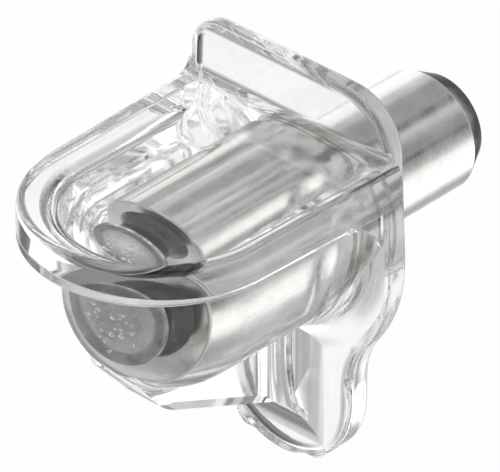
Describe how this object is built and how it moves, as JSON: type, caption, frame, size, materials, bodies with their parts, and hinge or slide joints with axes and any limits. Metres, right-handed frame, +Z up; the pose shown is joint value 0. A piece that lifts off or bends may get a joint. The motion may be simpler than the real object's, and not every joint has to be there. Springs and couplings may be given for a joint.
{
  "type": "shelf bracket",
  "caption": "Clear moulded shelf bracket: a flat round-nosed plate with a low upstand, a round hull and a web below it, carried on a plated steel pin that plugs into a cabinet side.",
  "frame": {"origin": "on the pin's axis, in the plane of the flange's back face, where the pin enters the cabinet side", "axes": "+Y runs along the pin into the cabinet side, +Z is up out of the shelf plate, +X runs across the bracket"},
  "size_m": [0.0106, 0.0213, 0.0174],
  "materials": {
    "clear_plastic": "clear, glossy",
    "plated_steel": "bright nickel plate with fine drawing lines"
  },
  "bodies": {
    "root": {"clear_body": "clear_plastic", "steel_pin": "plated_steel"}
  },
  "joints": []
}
